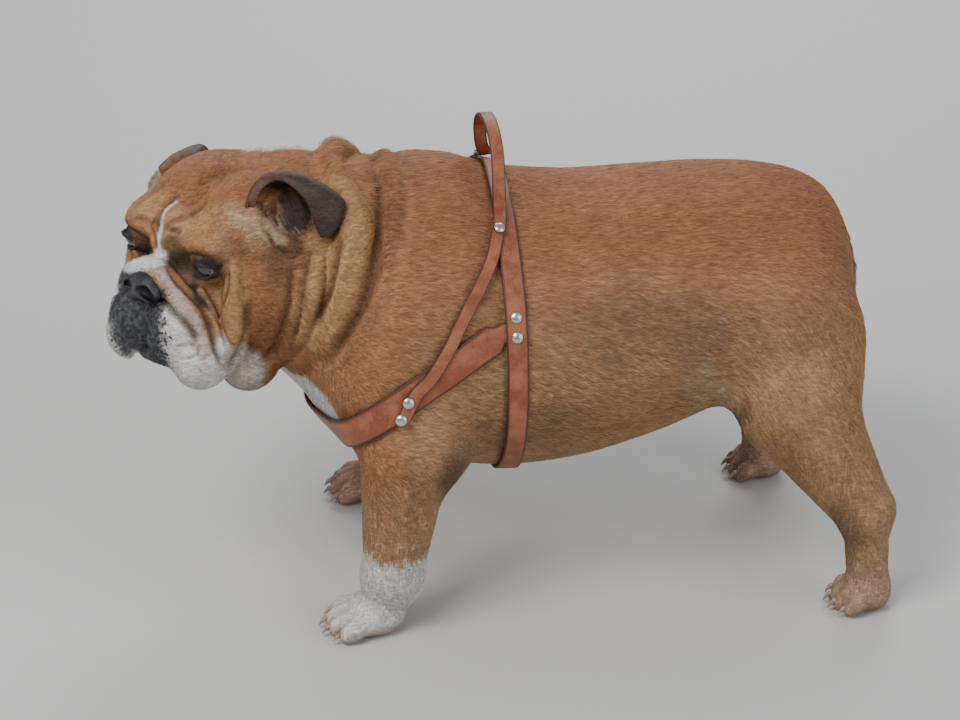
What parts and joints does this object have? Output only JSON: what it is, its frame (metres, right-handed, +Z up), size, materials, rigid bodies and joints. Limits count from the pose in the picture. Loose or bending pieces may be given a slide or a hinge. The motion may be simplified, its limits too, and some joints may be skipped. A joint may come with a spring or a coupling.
{
  "type": "english bulldog standing in a leather harness",
  "caption": "English bulldog standing square with its head turned to its left, wearing a leather walking harness with a raised handle.",
  "frame": {"origin": "on the floor under the middle of the whole dog", "axes": "+X towards the tail, -X towards the head, -Y the dog's left side, +Z up"},
  "size_m": [0.6396, 0.3262, 0.3933],
  "materials": {
    "coat": "short red-tan coat with white face, throat and near forefoot",
    "dark_coat": "short dark brown hair on thin ear leather",
    "nose_skin": "moist black pebbled skin",
    "eye": "wet dark brown eye",
    "horn": "dull dark horn",
    "leather": "worn chestnut strap leather with darker edges",
    "nickel": "domed nickel rivets and buckle"
  },
  "bodies": {
    "root": {"buckle_frame": "nickel", "buckle_tongue": "nickel", "chest_strap": "leather", "claw_fore_left_1": "horn", "claw_fore_left_2": "horn", "claw_fore_left_3": "horn", "claw_fore_left_4": "horn", "claw_fore_right_1": "horn", "claw_fore_right_2": "horn", "claw_fore_right_3": "horn", "claw_fore_right_4": "horn", "claw_hind_left_1": "horn", "claw_hind_left_2": "horn", "claw_hind_left_3": "horn", "claw_hind_left_4": "horn", "claw_hind_right_1": "horn", "claw_hind_right_2": "horn", "claw_hind_right_3": "horn", "claw_hind_right_4": "horn", "ear_left": "dark_coat", "ear_right": "dark_coat", "eye_left": "eye", "eye_right": "eye", "foreleg_left": "coat", "foreleg_right": "coat", "forepaw_left": "coat", "forepaw_right": "coat", "girth_billet": "leather", "girth_chape": "leather", "girth_strap": "leather", "handle_strap": "leather", "head": "coat", "hindleg_left": "coat", "hindleg_right": "coat", "hindpaw_left": "coat", "hindpaw_right": "coat", "lower_jaw": "coat", "neck": "coat", "nose": "nose_skin", "rivet_chest_lower_left": "nickel", "rivet_chest_lower_right": "nickel", "rivet_chest_upper_left": "nickel", "rivet_chest_upper_right": "nickel", "rivet_girth_lower_left": "nickel", "rivet_girth_lower_right": "nickel", "rivet_girth_upper_left": "nickel", "rivet_girth_upper_right": "nickel", "rivet_top_left": "nickel", "rivet_top_right": "nickel", "side_strap_left": "leather", "side_strap_right": "leather", "strap_keeper": "leather", "tail": "coat", "torso": "coat"}
  },
  "joints": []
}
